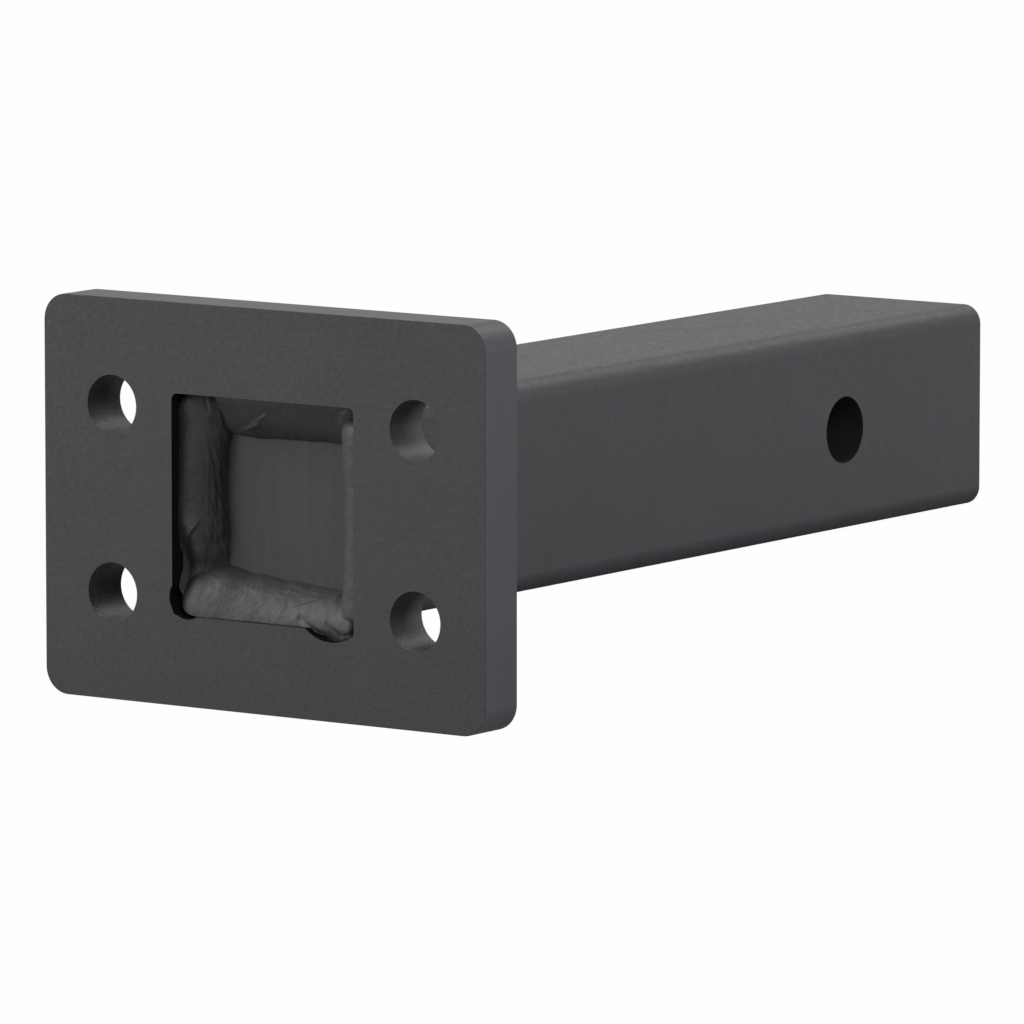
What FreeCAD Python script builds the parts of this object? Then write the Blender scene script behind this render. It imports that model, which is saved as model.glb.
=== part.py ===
import FreeCAD, Part
import math
import os
from collections import namedtuple

from FreeCAD import Vector

# A pintle hook mount: a solid square shank welded into a window in a drilled plate.
# Sizes are millimetres. +X is right, +Y runs along the shank away from the plate, +Z is up.
# The origin is the middle of the hitch pin bore, on the shank's own axis.
# The plate's front face looks along -Y, and a hook bolts flat against it.

# Shank: a solid bar that slides into a square receiver tube.
SHANK_SIDE = 50.8
SHANK_CORNER_RADIUS = 4.76
SHANK_END_BREAK = 0.8
PIN_BORE_DIAMETER = 16.67
PIN_TO_SHANK_END = 63.5
PIN_TO_PLATE_FACE = 209.55

# Plate: flame cut from bar, drilled for four bolts.
PLATE_WIDTH = 127.0
PLATE_HEIGHT = 95.25
PLATE_THICKNESS = 12.7
PLATE_CORNER_RADIUS = 6.35
PLATE_EDGE_BREAK = 0.12
BOLT_HOLE_DIAMETER = 14.29
BOLT_SPACING_ACROSS = 87.31
BOLT_SPACING_UP = 44.45

# Window: the square opening that the shank's end sits in, short of the plate's front face.
WINDOW_CLEARANCE = 0.8
WINDOW_CORNER_RADIUS = 1.6
SHANK_RECESS = 9.525

# Scars: two places where the arc washed the window's lower rim away.
LEFT_SCAR_RADIUS = 5.1
LEFT_SCAR_REACH = 0.8
LEFT_SCAR_DEPTH = 6.0
RIGHT_SCAR_RADIUS = 10.9
RIGHT_SCAR_REACH = 2.8
RIGHT_SCAR_DEPTH = 3.0
RIGHT_SCAR_INSET = 6.6

# Spill: the small run-out that froze in the right scar.
SPILL_RADIUS = 5.0
SPILL_LENGTH = 8.4
SPILL_DEPTH = 0.6
SPILL_FROM_RIM = 3.4

# Window welds: a leg up the window's wall, and one across the shank's end on each side.
WALL_LEG = 6.6
TOP_FACE_LEG = 9.6
LEFT_FACE_LEG = 8.8
BOTTOM_FACE_LEG = 9.7
RIGHT_FACE_LEG = 9.9
WINDOW_BEAD_SINK = 2.0
WINDOW_RUN_INSET = 5.5
LEFT_RUN_LATE_START = 5.0
LEFT_START_GROWTH = -1.0
LEFT_END_GROWTH = 0.7
BOTTOM_RUN_EARLY_END = 2.0
BOTTOM_END_GROWTH = 0.6
RIGHT_END_GROWTH = 1.5

# Back welds: one smooth run along each side of the shank, on the back of the plate.
TOP_BACK_LEG = 8.0
LEFT_BACK_LEG = 7.6
BOTTOM_BACK_LEG = 8.3
RIGHT_BACK_LEG = 7.8
BACK_BEAD_SINK = 3.0

# Ripples: a window run froze in steps, with a steep edge towards its start and a slope behind it.
RIPPLE_PITCH = 10.0
RIPPLE_HEIGHT = 0.6
RIPPLE_RISE_SHARE = 0.25

# The ends of every run round off in this many cones.
CONES_AT_END = 2

# Places that follow from the sizes above.
PLATE_FRONT = -PIN_TO_PLATE_FACE
PLATE_BACK = PLATE_FRONT + PLATE_THICKNESS
SHANK_FRONT = PLATE_FRONT + SHANK_RECESS
SHANK_REAR = PIN_TO_SHANK_END
SHANK_HALF = SHANK_SIDE / 2
WINDOW_HALF = SHANK_HALF + WINDOW_CLEARANCE
ROOT_PLANE = (SHANK_FRONT + PLATE_BACK) / 2

ACROSS = Vector(1, 0, 0)
ALONG = Vector(0, 1, 0)

# A run is laid along one side of the shank. Its side is told by quarter turns from the right
# towards the top. It may start late or end early, and its first and last ripples may be larger.
RUN_FIELDS = "name quarter_turns face_leg late_start early_end start_growth end_growth"
Run = namedtuple("Run", RUN_FIELDS, defaults=(0, 0, 0, 0))

# The order in which the runs were laid. Each lies over the ends of those before it.
WINDOW_RUNS = (
    Run("top", 1, TOP_FACE_LEG),
    Run("left", 2, LEFT_FACE_LEG, LEFT_RUN_LATE_START, 0, LEFT_START_GROWTH, LEFT_END_GROWTH),
    Run("bottom", 3, BOTTOM_FACE_LEG, 0, BOTTOM_RUN_EARLY_END, 0, BOTTOM_END_GROWTH),
    Run("right", 0, RIGHT_FACE_LEG, 0, 0, 0, RIGHT_END_GROWTH),
)
BACK_RUNS = (
    Run("top", 1, TOP_BACK_LEG),
    Run("left", 2, LEFT_BACK_LEG),
    Run("bottom", 3, BOTTOM_BACK_LEG),
    Run("right", 0, RIGHT_BACK_LEG),
)


def box(x_range, y_range, z_range):
    """A box between two values on each axis."""
    low = Vector(x_range[0], y_range[0], z_range[0])
    size = [high - start for start, high in (x_range, y_range, z_range)]
    return Part.makeBox(size[0], size[1], size[2], low)


def edges_along(solid, direction):
    """The straight edges of a solid that run along a direction."""
    found = []
    for edge in solid.Edges:
        if edge.Curve.TypeId == "Part::GeomLine" and edge.Curve.Direction.cross(direction).Length < 1e-6:
            found.append(edge)
    return found


def outline_at(solid, y):
    """The outer edges of a solid's flat end at one place along the shank."""
    for face in solid.Faces:
        flat = face.Surface.TypeId == "Part::GeomPlane"
        if flat and abs(face.BoundBox.YMin - y) < 1e-6 and abs(face.BoundBox.YMax - y) < 1e-6:
            return face.OuterWire.Edges
    raise ValueError("no flat end there")


def square_prism(width, height, corner_radius, start, end):
    """A bar with rounded corners, centred on the shank's axis."""
    bar = box((-width / 2, width / 2), (start, end), (-height / 2, height / 2))
    return bar.makeFillet(corner_radius, edges_along(bar, ALONG))


def make_shank():
    """The square bar, with its free end eased and the pin bore across it."""
    bar = square_prism(SHANK_SIDE, SHANK_SIDE, SHANK_CORNER_RADIUS, SHANK_FRONT, SHANK_REAR)
    bar = bar.makeChamfer(SHANK_END_BREAK, outline_at(bar, SHANK_REAR))
    bore = Part.makeCylinder(PIN_BORE_DIAMETER / 2, SHANK_SIDE, Vector(-SHANK_HALF, 0, 0), ACROSS)
    return bar.cut(bore)


def left_scar():
    """The round scar at the window's lower left corner."""
    centre = -(WINDOW_HALF + LEFT_SCAR_REACH - LEFT_SCAR_RADIUS)
    foot = Vector(centre, PLATE_FRONT, centre)
    return Part.makeCylinder(LEFT_SCAR_RADIUS, LEFT_SCAR_DEPTH, foot, ALONG)


def right_scar():
    """The wide, shallow scar at the lower right corner, which bulges downwards only."""
    lowest = -(WINDOW_HALF + RIGHT_SCAR_REACH)
    foot = Vector(WINDOW_HALF - RIGHT_SCAR_INSET, PLATE_FRONT, lowest + RIGHT_SCAR_RADIUS)
    scar = Part.makeCylinder(RIGHT_SCAR_RADIUS, RIGHT_SCAR_DEPTH, foot, ALONG)
    inside_right_wall = box((0, WINDOW_HALF), (PLATE_FRONT, PLATE_BACK), (lowest, 0))
    return scar.common(inside_right_wall)


def make_window():
    """The space cut out of the plate for the shank and its welds."""
    width = 2 * WINDOW_HALF
    opening = square_prism(width, width, WINDOW_CORNER_RADIUS, PLATE_FRONT, PLATE_BACK)
    return opening.fuse([left_scar(), right_scar()]).removeSplitter()


def make_plate(window):
    """The drilled plate with its eased outline and the window."""
    plate = square_prism(PLATE_WIDTH, PLATE_HEIGHT, PLATE_CORNER_RADIUS, PLATE_FRONT, PLATE_BACK)
    rims = outline_at(plate, PLATE_FRONT) + outline_at(plate, PLATE_BACK)
    plate = plate.makeChamfer(PLATE_EDGE_BREAK, rims)
    cuts = [window]
    for side in (-1, 1):
        for level in (-1, 1):
            foot = Vector(side * BOLT_SPACING_ACROSS / 2, PLATE_FRONT, level * BOLT_SPACING_UP / 2)
            cuts.append(Part.makeCylinder(BOLT_HOLE_DIAMETER / 2, PLATE_THICKNESS, foot, ALONG))
    return plate.cut(cuts)


def turned(point, quarter_turns):
    """A point turned about the shank's axis, a quarter at a time, from right towards top."""
    x, z = point.x, point.z
    for _ in range(quarter_turns):
        x, z = -z, x
    return Vector(x, point.y, z)


def turned_rod(start, end, outline):
    """A rod turned from an outline of places along it and their radii, with its ends rounded off."""
    length = (end - start).Length
    first, last = outline[0].y, outline[-1].y
    angles = [math.radians(90 * i / CONES_AT_END) for i in range(CONES_AT_END + 1)]
    profile = [Vector(-first * math.cos(a), first * math.sin(a), 0) for a in angles[:-1]]
    profile += outline
    profile += [Vector(length + last * math.sin(a), last * math.cos(a), 0) for a in angles[1:]]
    rod = Part.Face(Part.makePolygon(profile + profile[:1])).revolve(Vector(), ACROSS, 360)
    rod.Placement = FreeCAD.Placement(start, FreeCAD.Rotation(ACROSS, end - start))
    return rod


def smooth_rod(start, end, radius):
    """A rod for a run without ripples."""
    outline = [Vector(0, radius, 0), Vector((end - start).Length, radius, 0)]
    return turned_rod(start, end, outline)


def rippled_rod(start, end, radius, start_growth=0, end_growth=0):
    """A rod whose ripples rise to the radius, but for a larger or smaller one at either end."""
    length = (end - start).Length
    count = max(1, round(length / RIPPLE_PITCH))
    pitch = length / count
    crests = [radius] * count
    crests[0] += start_growth
    crests[-1] += end_growth
    outline = [Vector(0, crests[0] - RIPPLE_HEIGHT, 0)]
    for i, crest in enumerate(crests):
        outline.append(Vector((i + RIPPLE_RISE_SHARE) * pitch, crest, 0))
        outline.append(Vector((i + 1) * pitch, crest - RIPPLE_HEIGHT, 0))
    return turned_rod(start, end, outline)


def middle_line(run, track, reach, depth):
    """The two ends of a run's middle line, which lies at a given distance from the shank's axis."""
    start = turned(Vector(track, depth, reach - run.late_start), run.quarter_turns)
    end = turned(Vector(track, depth, run.early_end - reach), run.quarter_turns)
    return start, end


def right_spill():
    """The small run-out that lies in the right scar, up to the window's right wall."""
    depth = PLATE_FRONT + SPILL_DEPTH + SPILL_RADIUS
    level = SPILL_FROM_RIM - WINDOW_HALF - RIGHT_SCAR_REACH
    end = Vector(WINDOW_HALF - SPILL_FROM_RIM, depth, level)
    return rippled_rod(end - ACROSS * SPILL_LENGTH, end, SPILL_RADIUS)


def window_bead(run):
    """A run in the corner between the window's wall and the shank's end."""
    sink = WINDOW_BEAD_SINK
    from_wall = (run.face_leg**2 - WALL_LEG**2 - 2 * WALL_LEG * sink) / (2 * run.face_leg)
    radius = math.hypot(run.face_leg - from_wall, sink)
    track = WINDOW_HALF - from_wall
    start, end = middle_line(run, track, WINDOW_HALF - WINDOW_RUN_INSET, SHANK_FRONT + sink)
    bead = rippled_rod(start, end, radius, run.start_growth, run.end_growth)
    if run.name == "right":
        bead = bead.fuse(right_spill())
    return bead


def back_bead(run):
    """A run in the corner between the shank's side and the plate's back."""
    sink = BACK_BEAD_SINK
    radius = math.hypot(run.face_leg + sink, sink)
    reach = SHANK_HALF - SHANK_CORNER_RADIUS
    start, end = middle_line(run, SHANK_HALF - sink, reach, PLATE_BACK - sink)
    return smooth_rod(start, end, radius)


def trimmed(runs, bead_of, space):
    """The beads in the order they were laid, each cut to the space still free, without crumbs."""
    done = {}
    for run in runs:
        bead = bead_of(run).common(space)
        for earlier in done.values():
            bead = bead.cut(earlier)
        done[run.name] = max(bead.removeSplitter().Solids, key=lambda solid: solid.Volume)
    return done


def main():
    os.makedirs("parts", exist_ok=True)
    shank = make_shank()
    window = make_window()
    plate = make_plate(window)
    span = (-PLATE_HEIGHT / 2, PLATE_HEIGHT / 2)
    ahead_of_root = box(span, (PLATE_FRONT, ROOT_PLANE), span)
    behind_root = box(span, (ROOT_PLANE, PLATE_BACK), span)
    behind_plate = box(span, (PLATE_BACK, SHANK_REAR), span)
    front_space = window.common(ahead_of_root).cut(shank)
    back_space = window.common(behind_root).fuse(behind_plate).cut(shank)
    nodes = {"mounting_plate": plate, "shank_bar": shank}
    for side, bead in trimmed(WINDOW_RUNS, window_bead, front_space).items():
        nodes["window_weld_" + side] = bead
    for side, bead in trimmed(BACK_RUNS, back_bead, back_space).items():
        nodes["back_weld_" + side] = bead
    for name, solid in nodes.items():
        solid.exportStep(os.path.join("parts", name + ".step"))
        print(name, len(solid.Solids), "solid", round(solid.Volume, 1), solid.isValid())


main()
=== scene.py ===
import math
from collections import namedtuple

import bmesh
import bpy
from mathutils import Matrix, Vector, noise


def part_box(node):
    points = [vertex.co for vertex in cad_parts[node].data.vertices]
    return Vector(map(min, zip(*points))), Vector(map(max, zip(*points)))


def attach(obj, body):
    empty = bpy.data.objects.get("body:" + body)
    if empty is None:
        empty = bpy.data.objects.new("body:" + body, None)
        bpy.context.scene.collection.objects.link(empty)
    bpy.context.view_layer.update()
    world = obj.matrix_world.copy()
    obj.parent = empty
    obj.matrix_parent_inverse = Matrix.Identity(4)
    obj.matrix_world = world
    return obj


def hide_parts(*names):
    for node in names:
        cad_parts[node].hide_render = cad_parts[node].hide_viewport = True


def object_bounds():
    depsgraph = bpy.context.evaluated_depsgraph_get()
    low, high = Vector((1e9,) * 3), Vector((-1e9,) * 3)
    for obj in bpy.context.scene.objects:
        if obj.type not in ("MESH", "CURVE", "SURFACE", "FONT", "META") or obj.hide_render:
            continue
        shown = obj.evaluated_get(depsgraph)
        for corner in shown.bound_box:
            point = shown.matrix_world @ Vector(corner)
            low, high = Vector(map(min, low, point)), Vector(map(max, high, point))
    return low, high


# The looks of a pintle hook mount: charcoal powder coat over a sawn bar, a drilled plate and
# hand-laid welds. Everything is in metres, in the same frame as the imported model.

# Camera: the point that it looks at, where it stands from there, and how narrow its view is.
AIM = Vector((0.04768, -0.17627, 0.00012))
AZIMUTH = 34.8966
ELEVATION = 7.484
DISTANCE = 2.33705
LENS = 353.3
SENSOR = 36.0
VIEW_END = 50.0

# Lamps: broad white panels, all equally far from the object. They stand to the left and right of
# the plate's front, beside the shank on the right, and high up behind it. Powers are in watts.
Panel = namedtuple("Panel", "name azimuth elevation wide high power")
PANEL_DISTANCE = 2.5
PANELS = (
    Panel("front_panel", -55, 35, 1.2, 1.2, 48),
    Panel("front_strip", -40, 5, 1.6, 0.4, 20),
    Panel("left_strip", -75, 5, 1.2, 0.4, 4),
    Panel("back_panel", 177, 36, 1.2, 1.0, 14),
    Panel("right_strip", 105, 6, 1.2, 0.3, 42),
    Panel("right_panel", 60, 30, 1.2, 1.2, 9),
)

# Floor and surroundings: the floor's colour, how much of it is plain white to the camera, the dim
# light from all round, and how far from the origin reflections show the floor's shade.
FLOOR_SIDE = 12.0
FLOOR_COLOUR = (0.3, 0.3, 0.3)
FLOOR_GLOW = 0.985
SURROUND_FILL = 0.03
SHADOW_CORE = 0.12
SHADOW_END = 0.4

# Powder coat: its base colours, its sheen, its grain, its slow waves, and the small nibs of dust
# under it. Speckles make its sheen uneven, and patches make its colour drift.
COAT_COLOUR = (0.0365, 0.038, 0.042)
WELD_COLOUR = (0.038, 0.038, 0.038)
COAT_ROUGHNESS = 0.55
WELD_ROUGHNESS = 0.5
COAT_SPECULAR = 0.22
GRAIN_SIZE = 0.0005
GRAIN_DEPTH = 0.00003
WAVE_SIZE = 0.0014
WAVE_DEPTH = 0.00005
NIB_SPACING = 0.012
NIB_RADIUS = 0.00045
NIB_DEPTH = 0.00003
SPECKLE_SIZE = 0.0013
COAT_SPECKLE = 0.065
WELD_SPECKLE = 0.03
PATCH_SIZE = 0.018
PATCH_DRIFT = 0.05

# Nearly all values of a noise texture lie between these two.
NOISE_LOW = 0.3
NOISE_HIGH = 0.7

# The shank's sawn end: its neutral colour, how far behind the face that colour starts and stops to
# fade, and its upright saw streaks, which are far longer than wide.
END_COLOUR = (0.037, 0.037, 0.037)
END_SKIN = 0.0001
END_FADE = 0.0003
STREAK_WIDTH = 0.0022
STREAK_STRETCH = 0.03
STREAK_DRIFT = 0.09

# The plate's cut faces: they show more than the coat's colour, and shine a little more. The
# window's walls and scars show only a small share of it, which is painted shade in the recess. A
# face is a cut one below the first facing, which is the size of its normal's share along the shank,
# and a flat one above the second.
CUT_COAT = 1.3
CUT_ROUGHNESS = 0.51
# Painted shade: the share of the coat's colour left on the window's walls and scars.
WALL_PAINTED_SHADE = 0.12
CUT_FACING = 0.75
FLAT_FACING = 0.95

# Welds: every length from here to the functions is in millimetres, and MM turns it into metres.
# A run is drawn as rings of points round its root, the corner that it fills. Towards its ends the
# rings shrink to a heart, a share of the way from the root to the surface, and a last small share
# is left of them. Sides are told by quarter turns from the right towards the top.
MM = 0.001
RING_STEP = 0.25
RING_POINTS = 56
NOSE_HEART = 0.42
LAST_SHARE = 0.02
SHARP_ANGLE = 60
TURNS = {"right": 0, "top": 1, "left": 2, "bottom": 3}

# Unevenness of frozen metal: the size and the height of its lumps, from coarse to fine.
LUMPS = ((5.0, 0.16), (1.8, 0.06), (0.6, 0.012))

# Ripples: how far apart they are, how far they trail behind towards a run's edges, and the angle of
# its middle line, how far they wander and over what size, and how strongly they come and go and
# over what size.
RIPPLE_PITCH = 1.45
RIPPLE_TRAIL = 2.6
MIDDLE_ANGLE = 45
RIPPLE_WANDER = 1.6
WANDER_SIZE = 3.0
RIPPLE_CHANGE = 2.2
CHANGE_SIZE = 5.0

# Scales on the flank that faces the window's middle: the angle where the flank starts and how
# softly, how many there are to a radian, how they climb, how long they are, and how much narrower
# the fine ones are.
FLANK_ANGLE = 42
FLANK_BLEND = 16
SCALES_PER_RADIAN = 9
SCALE_CLIMB = 0.22
SCALE_LENGTH = 4.0
FINER_SCALES = 2.2

# Where noise is taken, so that no two runs or kinds of noise are alike.
NOISE_PER_TURN = 10
NOISE_PER_RADIAN = 3
BACK_NOISE_START = 70
BACK_NOISE_PER_TURN = 20
CHANGE_SHIFT = Vector((7, 0, 0))
SCALE_PLANE = 3
FINE_SCALE_PLANE = 9

# What a run is like at one place along it: how far up the wall and across the face it reaches, and
# how full its section is: 2 for a quarter of an ellipse, 1 for a flat slope and less for a hollow.
Station = namedtuple("Station", "at wall_leg face_leg fullness")

# Forms on a run, placed by x and z: a raised lip on the left of a line, a sharp crease along a
# line, a smooth dent, and a dome with a rim. Lips and creases die away towards their line's end.
Lip = namedtuple("Lip", "start end rise reach")
Crease = namedtuple("Crease", "start end depth reach")
Dent = namedtuple("Dent", "centre across up depth")
Lobe = namedtuple("Lobe", "centre across up rise")
LINE_FADE = 0.8
LIP_EDGE = 0.15

# A run of the window: its side, its two ends along that side, how far those ends take to round
# off, the stations along it, how high its ripples and its flank's scales are, and the forms on it.
Run = namedtuple("Run", "side start end start_round end_round stations ripple scales forms")

WINDOW_RUNS = (
    Run(
        "top", -24.0, 26.6, 10.0, 6.0,
        (Station(-24, 2.0, 5.4, 1.4), Station(-16, 4.6, 9.8, 1.4), Station(-7, 6.5, 10.2, 1.4),
         Station(13, 6.6, 9.9, 1.4), Station(18, 6.4, 10.3, 1.4), Station(26, 5.4, 9.6, 1.4)),
        0.03, 0.05,
        (Lip((-5.0, 20.3), (-15.0, 16.7), 0.5, 2.2), Lip((-2.0, 22.6), (-10.0, 18.3), 0.45, 1.6),
         Lobe((22.4, 21.6), 3.4, 3.6, 0.45), Dent((22.8, 21.4), 2.0, 2.2, 0.6)),
    ),
    Run(
        "left", -23.0, 27.2, 4.0, 5.0,
        (Station(-23, 7.8, 9.4, 1.0), Station(-15, 7.7, 9.8, 1.05), Station(-10, 7.2, 9.8, 1.6),
         Station(-6, 6.9, 9.5, 2.1), Station(3.5, 6.8, 8.7, 2.1), Station(11, 6.6, 9.4, 2.1),
         Station(17, 6.4, 10.4, 2.1), Station(22, 6.6, 11.6, 2.1), Station(26, 6.8, 11.6, 2.1)),
        0.035, 0.3,
        (Lip((-27.2, -12.8), (-20.3, -3.4), 0.9, 3.4), Dent((-25.4, -14.0), 5.2, 10.0, 2.7)),
    ),
    Run(
        "bottom", -27.0, 26.2, 7.0, 2.5,
        (Station(-26, 8.4, 12.2, 1.9), Station(-18, 8.2, 11.6, 1.75), Station(-8, 7.9, 10.2, 1.5),
         Station(2, 7.7, 9.2, 1.4), Station(9, 7.7, 8.6, 1.45), Station(13, 8.5, 8.3, 1.6),
         Station(26, 8.6, 8.4, 1.6)),
        0.012, 0.06,
        (Lip((17.6, -18.4), (6.4, -22.2), 0.4, 1.8), Crease((19.0, -29.4), (8.4, -23.8), 1.1, 0.6),
         Lobe((-3.0, -18.6), 4.6, 1.9, 0.12), Lobe((-11.0, -18.2), 5.0, 2.0, 0.12),
         Crease((21.9, -27.9), (17.2, -24.6), 0.7, 0.5),
         Crease((26.4, -26.6), (22.4, -27.4), 0.5, 0.4)),
    ),
    Run(
        "right", -25.6, 23.4, 3.0, 4.0,
        (Station(-26, 8.7, 8.2, 2.2), Station(-19, 8.6, 7.6, 2.2), Station(-13, 8.5, 7.0, 2.2),
         Station(3, 8.5, 6.5, 2.2), Station(10, 8.5, 7.0, 2.2), Station(16, 8.5, 7.6, 2.2),
         Station(23, 8.4, 8.0, 2.2)),
        0.03, 0.05,
        (Crease((21.4, -9.4), (20.9, 4.4), 0.35, 0.5),),
    ),
)

# The scar of the window's lower rim, which the bottom run fills but for a small gap, and how far
# past the window's walls its scars reach at most.
SCAR_CENTRE = (19.6, -18.1)
SCAR_RADIUS = 10.8
SCAR_GAP = 0.2
SCAR_REACH = 3.2

# Back runs: their legs, how deep their middle line lies inside the steel, the angles between which
# their section shows, and the radius of the shank's corners, which they go round.
BACK_LEGS = {"top": 8.0, "left": 7.6, "bottom": 8.3, "right": 7.8}
BACK_SINK = 3.0
BACK_FIRST_ANGLE = -80
BACK_LAST_ANGLE = 85
BACK_RIPPLE = 0.13
BACK_RING_STEP = 0.4
SHANK_CORNER = 4.76


def look_from(azimuth, elevation):
    """The direction from the object towards a viewer, with azimuth 0 in front of the plate."""
    turn = math.radians(azimuth)
    rise = math.radians(elevation)
    return Vector((math.sin(turn) * math.cos(rise), -math.cos(turn) * math.cos(rise), math.sin(rise)))


def add_object(name, data):
    thing = bpy.data.objects.new(name, data)
    bpy.context.scene.collection.objects.link(thing)
    return thing


def aim_at(thing, place, target):
    thing.location = place
    thing.rotation_euler = (place - target).to_track_quat("Z", "Y").to_euler()


def make_camera():
    camera = bpy.data.cameras.new("camera")
    camera.lens = LENS
    camera.sensor_width = SENSOR
    camera.clip_end = VIEW_END
    thing = add_object("camera", camera)
    aim_at(thing, AIM + look_from(AZIMUTH, ELEVATION) * DISTANCE, AIM)
    bpy.context.scene.camera = thing


def add_lamp(panel):
    lamp = bpy.data.lights.new(panel.name, "AREA")
    lamp.shape = "RECTANGLE"
    lamp.size = panel.wide
    lamp.size_y = panel.high
    lamp.energy = panel.power
    thing = add_object(panel.name, lamp)
    aim_at(thing, AIM + look_from(panel.azimuth, panel.elevation) * PANEL_DISTANCE, AIM)


def node(tree, kind, **settings):
    """A shader node with its settings."""
    made = tree.nodes.new(kind)
    for key, value in settings.items():
        setattr(made, key, value)
    return made


def worked_out(tree, operation, *values):
    """A value worked out from others, each of which is a socket or a plain number."""
    made = node(tree, "ShaderNodeMath", operation=operation)
    for i, value in enumerate(values):
        if isinstance(value, float):
            made.inputs[i].default_value = value
        else:
            tree.links.new(value, made.inputs[i])
    return made.outputs[0]


def ranged(tree, value, from_low, from_high, low, high):
    """A value between two numbers brought to lie between two others."""
    made = node(tree, "ShaderNodeMapRange")
    made.inputs["From Min"].default_value = from_low
    made.inputs["From Max"].default_value = from_high
    made.inputs["To Min"].default_value = low
    made.inputs["To Max"].default_value = high
    tree.links.new(value, made.inputs["Value"])
    return made.outputs[0]


def mirrored_ray(tree):
    """1 for reflected and refracted rays, else 0."""
    path = node(tree, "ShaderNodeLightPath")
    return worked_out(tree, "MAXIMUM", path.outputs["Is Glossy Ray"], path.outputs["Is Transmission Ray"])


def with_camera_ray(tree, value):
    """The value, raised to 1 for rays from the camera."""
    path = node(tree, "ShaderNodeLightPath")
    return worked_out(tree, "MAXIMUM", path.outputs["Is Camera Ray"], value)


def make_world():
    """White to the camera and in reflections, and a dim fill otherwise."""
    world = bpy.data.worlds.new("surround")
    bpy.context.scene.world = world
    world.use_nodes = True
    tree = world.node_tree
    back = tree.nodes["Background"]
    back.inputs["Color"].default_value = (1, 1, 1, 1)
    strength = ranged(tree, with_camera_ray(tree, mirrored_ray(tree)), 0, 1, SURROUND_FILL, 1)
    tree.links.new(strength, back.inputs["Strength"])


def away_from_object(tree):
    """0 on the floor near the origin, which lies in the shank, rising to 1 where the shadow ends."""
    geometry = node(tree, "ShaderNodeNewGeometry")
    far = node(tree, "ShaderNodeVectorMath", operation="LENGTH")
    tree.links.new(geometry.outputs["Position"], far.inputs[0])
    share = node(tree, "ShaderNodeMapRange", interpolation_type="SMOOTHSTEP")
    share.inputs["From Min"].default_value = SHADOW_CORE
    share.inputs["From Max"].default_value = SHADOW_END
    tree.links.new(far.outputs["Value"], share.inputs["Value"])
    return share.outputs[0]


def floor_coat():
    """White that shows the object's shadow faintly to the camera, and as it is in reflections."""
    material = bpy.data.materials.new("floor")
    material.use_nodes = True
    tree = material.node_tree
    tree.nodes.clear()
    diffuse = node(tree, "ShaderNodeBsdfDiffuse")
    diffuse.inputs["Color"].default_value = (*FLOOR_COLOUR, 1)
    mirrored = worked_out(tree, "MULTIPLY", mirrored_ray(tree), away_from_object(tree))
    share = worked_out(tree, "MULTIPLY", with_camera_ray(tree, mirrored), FLOOR_GLOW)
    glow = node(tree, "ShaderNodeEmission")
    mix = node(tree, "ShaderNodeMixShader")
    tree.links.new(share, mix.inputs[0])
    tree.links.new(diffuse.outputs[0], mix.inputs[1])
    tree.links.new(glow.outputs[0], mix.inputs[2])
    out = node(tree, "ShaderNodeOutputMaterial")
    tree.links.new(mix.outputs[0], out.inputs["Surface"])
    return material


def make_floor(level):
    half = FLOOR_SIDE / 2
    corners = [(-half, -half, level), (half, -half, level), (half, half, level), (-half, half, level)]
    mesh = bpy.data.meshes.new("floor")
    mesh.from_pydata(corners, [], [(0, 1, 2, 3)])
    mesh.materials.append(floor_coat())
    add_object("floor", mesh)


def noise_at(tree, place, size, detail=2.0):
    made = node(tree, "ShaderNodeTexNoise")
    made.inputs["Scale"].default_value = 1 / size
    made.inputs["Detail"].default_value = detail
    tree.links.new(place, made.inputs["Vector"])
    return made.outputs["Fac"]


def noise_between(tree, value, low, high):
    """A noise texture's value brought to lie between two numbers."""
    return ranged(tree, value, NOISE_LOW, NOISE_HIGH, low, high)


def scaled_colour(tree, colour, share):
    """A colour times a value, from a socket that gives a colour or from plain numbers."""
    made = node(tree, "ShaderNodeVectorMath", operation="SCALE")
    if isinstance(colour, tuple):
        made.inputs[0].default_value = colour
    else:
        tree.links.new(colour, made.inputs[0])
    tree.links.new(share, made.inputs["Scale"])
    return made.outputs["Vector"]


def bumped(tree, height, depth, under=None):
    made = node(tree, "ShaderNodeBump")
    made.inputs["Distance"].default_value = depth
    tree.links.new(height, made.inputs["Height"])
    if under:
        tree.links.new(under, made.inputs["Normal"])
    return made.outputs[0]


def nibs(tree, place):
    """Small round bumps, scattered about."""
    cells = node(tree, "ShaderNodeTexVoronoi")
    cells.inputs["Scale"].default_value = 1 / NIB_SPACING
    tree.links.new(place, cells.inputs["Vector"])
    return ranged(tree, cells.outputs["Distance"], 0, NIB_RADIUS / NIB_SPACING, 1, 0)


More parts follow.
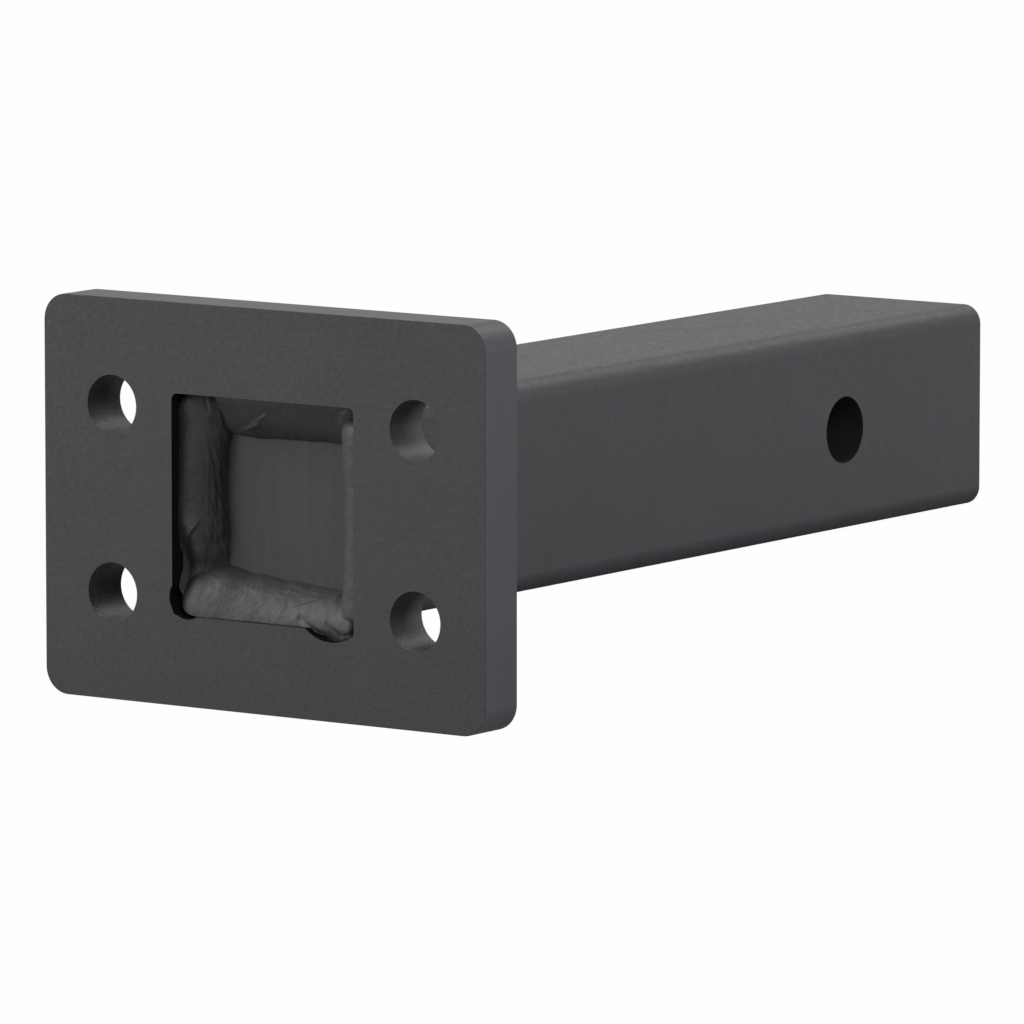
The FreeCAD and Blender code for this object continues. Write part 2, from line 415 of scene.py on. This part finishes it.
def satin_coat(name, colour, roughness, speckle_drift):
    """Satin powder coat with grain, waves, nibs, an uneven sheen and a slight drift of its colour."""
    material = bpy.data.materials.new(name)
    material.use_nodes = True
    tree = material.node_tree
    shader = tree.nodes["Principled BSDF"]
    shader.inputs["Specular IOR Level"].default_value = COAT_SPECULAR
    place = node(tree, "ShaderNodeTexCoord").outputs["Object"]
    patches = noise_at(tree, place, PATCH_SIZE, detail=3)
    drift = noise_between(tree, patches, 1 - PATCH_DRIFT, 1 + PATCH_DRIFT)
    tree.links.new(scaled_colour(tree, colour, drift), shader.inputs["Base Color"])
    speckles = noise_at(tree, place, SPECKLE_SIZE, detail=3)
    rough = noise_between(tree, speckles, roughness + speckle_drift, roughness - speckle_drift)
    tree.links.new(rough, shader.inputs["Roughness"])
    normal = bumped(tree, noise_at(tree, place, WAVE_SIZE), WAVE_DEPTH)
    normal = bumped(tree, nibs(tree, place), NIB_DEPTH, normal)
    normal = bumped(tree, noise_at(tree, place, GRAIN_SIZE, detail=1), GRAIN_DEPTH, normal)
    tree.links.new(normal, shader.inputs["Normal"])
    return material


def source_of(socket):
    """The socket that feeds another one."""
    return socket.links[0].from_socket


def sawn_end(material, face_y):
    """Gives a coat an even sheen, a neutral colour and faint upright streaks on the shank's end face."""
    tree = material.node_tree
    shader = tree.nodes["Principled BSDF"]
    place = node(tree, "ShaderNodeTexCoord").outputs["Object"]
    split = node(tree, "ShaderNodeSeparateXYZ")
    tree.links.new(place, split.inputs[0])
    on_end = ranged(tree, split.outputs["Y"], face_y + END_SKIN, face_y + END_FADE, 1, 0)
    stretch = node(tree, "ShaderNodeMapping")
    stretch.inputs["Scale"].default_value = (1, 1, STREAK_STRETCH)
    tree.links.new(place, stretch.inputs["Vector"])
    streaks = noise_at(tree, stretch.outputs[0], STREAK_WIDTH)
    share = noise_between(tree, streaks, 1 - STREAK_DRIFT, 1 + STREAK_DRIFT)
    mix = node(tree, "ShaderNodeMix", data_type="RGBA")
    tree.links.new(on_end, mix.inputs["Factor"])
    tree.links.new(source_of(shader.inputs["Base Color"]), mix.inputs["A"])
    tree.links.new(scaled_colour(tree, END_COLOUR, share), mix.inputs["B"])
    tree.links.new(mix.outputs["Result"], shader.inputs["Base Color"])
    rough = ranged(tree, on_end, 0, 1, 0, COAT_ROUGHNESS)
    tree.links.new(source_of(shader.inputs["Roughness"]), rough.node.inputs["To Min"])
    tree.links.new(rough, shader.inputs["Roughness"])
    return material


def cut_faces_and_wall_shade(material, window_half):
    """Gives a coat a lighter colour on the plate's cut faces, and painted shade on the window's walls."""
    tree = material.node_tree
    shader = tree.nodes["Principled BSDF"]
    coordinates = node(tree, "ShaderNodeTexCoord")
    normal = node(tree, "ShaderNodeSeparateXYZ")
    tree.links.new(coordinates.outputs["Normal"], normal.inputs[0])
    facing = worked_out(tree, "ABSOLUTE", normal.outputs["Y"])
    place = node(tree, "ShaderNodeSeparateXYZ")
    tree.links.new(coordinates.outputs["Object"], place.inputs[0])
    sides = [worked_out(tree, "ABSOLUTE", place.outputs[axis]) for axis in ("X", "Z")]
    off_axis = worked_out(tree, "MAXIMUM", *sides)
    past_scars = (window_half + SCAR_REACH) * MM
    # Cut faces within the window and its scars are darkened to a small share as painted shade; past them
    # they are lighter.
    cut_tone_and_wall_shade = ranged(tree, off_axis, past_scars, past_scars + MM, WALL_PAINTED_SHADE, CUT_COAT)
    share = ranged(tree, facing, CUT_FACING, FLAT_FACING, 1, 1)
    tree.links.new(cut_tone_and_wall_shade, share.node.inputs["To Min"])
    coat = source_of(shader.inputs["Base Color"])
    tree.links.new(scaled_colour(tree, coat, share), shader.inputs["Base Color"])
    rough = ranged(tree, facing, CUT_FACING, FLAT_FACING, CUT_ROUGHNESS, 1)
    tree.links.new(source_of(shader.inputs["Roughness"]), rough.node.inputs["To Max"])
    tree.links.new(rough, shader.inputs["Roughness"])
    return material


def smooth(share):
    share = min(max(share, 0.0), 1.0)
    return share * share * (3 - 2 * share)


def section_at(stations, at):
    """The wall leg, the face leg and the fullness between stations, joined smoothly."""
    for low, high in zip(stations, stations[1:]):
        if at <= high.at:
            share = smooth((at - low.at) / (high.at - low.at))
            return [start + (end - start) * share for start, end in zip(low[1:], high[1:])]
    return stations[-1][1:]


def section_reach(angle, wall_leg, face_leg, fullness):
    """How far a run's surface lies from its root, in a direction from the wall to the face."""
    across = abs(math.sin(angle)) / face_leg
    up = max(math.cos(angle), 0) / wall_leg
    return (across**fullness + up**fullness) ** (-1 / fullness)


def beside_line(line, x, z):
    """How far a place lies to the left of a line, and the line's strength there."""
    along_x, along_z = line.end[0] - line.start[0], line.end[1] - line.start[1]
    length = math.hypot(along_x, along_z)
    dx, dz = x - line.start[0], z - line.start[1]
    along = (dx * along_x + dz * along_z) / length
    left = (along_x * dz - along_z * dx) / length
    started = smooth((along + LINE_FADE) / (2 * LINE_FADE))
    return left, started * math.sqrt(min(max(1 - along / length, 0), 1))


def form_height(form, x, z):
    """How far one form raises the surface at a place."""
    if isinstance(form, Lip):
        left, strength = beside_line(form, x, z)
        edge = smooth((left + LIP_EDGE) / (2 * LIP_EDGE))
        return form.rise * strength * edge * math.exp(-max(left, 0) / form.reach)
    if isinstance(form, Crease):
        left, strength = beside_line(form, x, z)
        return -form.depth * strength * math.exp(-abs(left) / form.reach)
    far = math.hypot((x - form.centre[0]) / form.across, (z - form.centre[1]) / form.up)
    if isinstance(form, Dent):
        return -form.depth * smooth(1 - far)
    return form.rise * math.sqrt(max(1 - far * far, 0))


def rough_height(place):
    """The unevenness of frozen weld metal at a place."""
    return sum(height * noise.noise(place / size) for size, height in LUMPS)


def ripple_height(place, at, angle, rise):
    """Rounded ripples with sharp valleys, which trail behind at a run's edges, and come and go."""
    trailing = at + RIPPLE_TRAIL * (angle / math.radians(MIDDLE_ANGLE) - 1) ** 2
    wander = RIPPLE_WANDER * noise.noise(place / WANDER_SIZE)
    ripple = abs(math.sin(math.pi * (trailing + wander) / RIPPLE_PITCH))
    change = RIPPLE_CHANGE * noise.noise(place / CHANGE_SIZE + CHANGE_SHIFT)
    return rise * max(1 + change, 0) * ripple


def scale_height(at, angle, rise):
    """Long scales on the flank that faces the window's middle, which trail along the run."""
    on_flank = smooth((math.degrees(angle) - FLANK_ANGLE) / FLANK_BLEND)
    down = SCALES_PER_RADIAN * angle + SCALE_CLIMB * at
    along = at / SCALE_LENGTH
    coarse = noise.noise(Vector((down, along, SCALE_PLANE)))
    fine = noise.noise(Vector((FINER_SCALES * down, 2 * along, FINE_SCALE_PLANE)))
    return rise * on_flank * (coarse + fine / 2)


def relief(run, x, z, at, angle):
    """How far the surface stands above or below its smooth section."""
    place = Vector((x, z, NOISE_PER_TURN * TURNS[run.side] + NOISE_PER_RADIAN * angle))
    height = sum(form_height(form, x, z) for form in run.forms) + rough_height(place)
    return height + ripple_height(place, at, angle, run.ripple) + scale_height(at, angle, run.scales)


def end_share(along, rounding):
    """How much of a run's full section is left near one of its ends."""
    if along >= rounding:
        return 1.0
    return math.sqrt(max(1 - (1 - along / rounding) ** 2, LAST_SHARE**2))


def quarter_turned(x, z, turns):
    for _ in range(turns):
        x, z = -z, x
    return x, z


def closed_rings(name, rings):
    """A closed mesh through rings of points, with both ends shut."""
    count = len(rings[0])
    faces = []
    for i in range(len(rings) - 1):
        for j in range(count):
            this, after = i * count + j, i * count + (j + 1) % count
            faces.append((this, after, after + count, this + count))
    faces.append(tuple(range(count)))
    faces.append(tuple(reversed(range((len(rings) - 1) * count, len(rings) * count))))
    mesh = bpy.data.meshes.new(name)
    mesh.from_pydata([point for ring in rings for point in ring], [], faces)
    mesh.polygons.foreach_set("use_smooth", [True] * len(faces))
    shape = bmesh.new()
    shape.from_mesh(mesh)
    bmesh.ops.recalc_face_normals(shape, faces=shape.faces)
    shape.to_mesh(mesh)
    shape.free()
    mesh.set_sharp_from_angle(angle=math.radians(SHARP_ANGLE))
    return mesh


def side_point(run, window_half, at, inward):
    """The x and z of a place along a run, at a distance inward from the window's wall."""
    along = -at if run.side in ("top", "left") else at
    return quarter_turned(window_half - inward, along, TURNS[run.side])


def past_wall(run, window_half, at):
    """How far the bottom run reaches past the window's wall, where the scar lets it."""
    off = at - SCAR_CENTRE[0]
    if run.side != "bottom" or abs(off) >= SCAR_RADIUS:
        return 0.0
    lowest = SCAR_CENTRE[1] - math.sqrt(SCAR_RADIUS**2 - off**2)
    return max(-window_half - lowest - SCAR_GAP, 0.0)


def window_section(run, window_half, at):
    """A run's section at one place: how far inward and up from its root each point lies."""
    wall_leg, face_leg, fullness = section_at(run.stations, at)
    first = -math.atan2(past_wall(run, window_half, at), wall_leg)
    section = []
    for j in range(RING_POINTS + 1):
        angle = first + (math.pi / 2 - first) * j / RING_POINTS
        reach = section_reach(angle, wall_leg, face_leg, fullness)
        x, z = side_point(run, window_half, at, reach * math.sin(angle))
        reach += relief(run, x, z, at, angle)
        section.append((reach * math.sin(angle), reach * math.cos(angle)))
    section.append((0, 0))
    return section, (NOSE_HEART * face_leg, NOSE_HEART * wall_leg)


def window_run(run, window_half, face_y):
    """One run in the corner between the window's wall and the shank's end."""
    rings = []
    count = round((run.end - run.start) / RING_STEP)
    for i in range(count + 1):
        at = run.start + (run.end - run.start) * i / count
        share = end_share(at - run.start, run.start_round) * end_share(run.end - at, run.end_round)
        section, heart = window_section(run, window_half, at)
        ring = []
        for inward, up in section:
            inward = heart[0] + (inward - heart[0]) * share
            up = heart[1] + (up - heart[1]) * share
            x, z = side_point(run, window_half, at, inward)
            ring.append((x * MM, face_y - up * MM, z * MM))
        rings.append(ring)
    return closed_rings(run.side + "_run", rings)


def back_run(side, shank_half, back_y):
    """One fillet run between the shank's side and the back of the plate."""
    turns = TURNS[side]
    root = shank_half - BACK_SINK
    radius = math.hypot(BACK_LEGS[side] + BACK_SINK, BACK_SINK)
    end = shank_half - SHANK_CORNER + radius
    count = round(2 * end / BACK_RING_STEP)
    rings = []
    for i in range(count + 1):
        at = -end + 2 * end * i / count
        share = end_share(end - abs(at), radius)
        ring = []
        for j in range(RING_POINTS + 1):
            turn = BACK_FIRST_ANGLE + (BACK_LAST_ANGLE - BACK_FIRST_ANGLE) * j / RING_POINTS
            angle = math.radians(turn)
            place = Vector((at, BACK_NOISE_START + BACK_NOISE_PER_TURN * turns, radius * angle))
            height = rough_height(place) + ripple_height(place, at, angle, BACK_RIPPLE)
            reach = (radius + height) * share
            x, z = quarter_turned(root + reach * math.sin(angle), at, turns)
            ring.append((x * MM, back_y + (reach * math.cos(angle) - BACK_SINK) * MM, z * MM))
        x, z = quarter_turned(root, at, turns)
        ring.append((x * MM, back_y - BACK_SINK * MM, z * MM))
        rings.append(ring)
    return closed_rings("back_" + side + "_run", rings)


def place_weld(mesh, material, replaced):
    mesh.materials.append(material)
    thing = add_object(mesh.name, mesh)
    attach(thing, "root")
    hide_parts(replaced)


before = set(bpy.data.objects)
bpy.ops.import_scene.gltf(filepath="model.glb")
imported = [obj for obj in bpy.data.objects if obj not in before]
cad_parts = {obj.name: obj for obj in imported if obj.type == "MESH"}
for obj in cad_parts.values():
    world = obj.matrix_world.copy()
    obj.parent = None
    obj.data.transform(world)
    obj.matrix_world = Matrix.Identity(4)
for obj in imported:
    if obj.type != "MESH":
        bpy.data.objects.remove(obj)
cad_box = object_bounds()

make_camera()
make_world()
make_floor(cad_box[0][2])
for panel in PANELS:
    add_lamp(panel)

face_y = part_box("shank_bar")[0][1]
back_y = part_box("mounting_plate")[1][1]
shank_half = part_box("shank_bar")[1][0] / MM
window_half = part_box("window_weld_top")[1][2] / MM

plate_coat = satin_coat("satin_coat", COAT_COLOUR, COAT_ROUGHNESS, COAT_SPECKLE)
plate_coat = cut_faces_and_wall_shade(plate_coat, window_half)
shank_coat = satin_coat("satin_shank_coat", COAT_COLOUR, COAT_ROUGHNESS, COAT_SPECKLE)
shank_coat = sawn_end(shank_coat, face_y)
weld_coat = satin_coat("satin_weld_coat", WELD_COLOUR, WELD_ROUGHNESS, WELD_SPECKLE)
for name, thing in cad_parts.items():
    for slot in thing.material_slots:
        slot.material = shank_coat if name == "shank_bar" else plate_coat

for run in WINDOW_RUNS:
    place_weld(window_run(run, window_half, face_y), weld_coat, "window_weld_" + run.side)
for side in TURNS:
    place_weld(back_run(side, shank_half, back_y), weld_coat, "back_weld_" + side)

view = bpy.context.scene.view_settings
view.view_transform = "Standard"
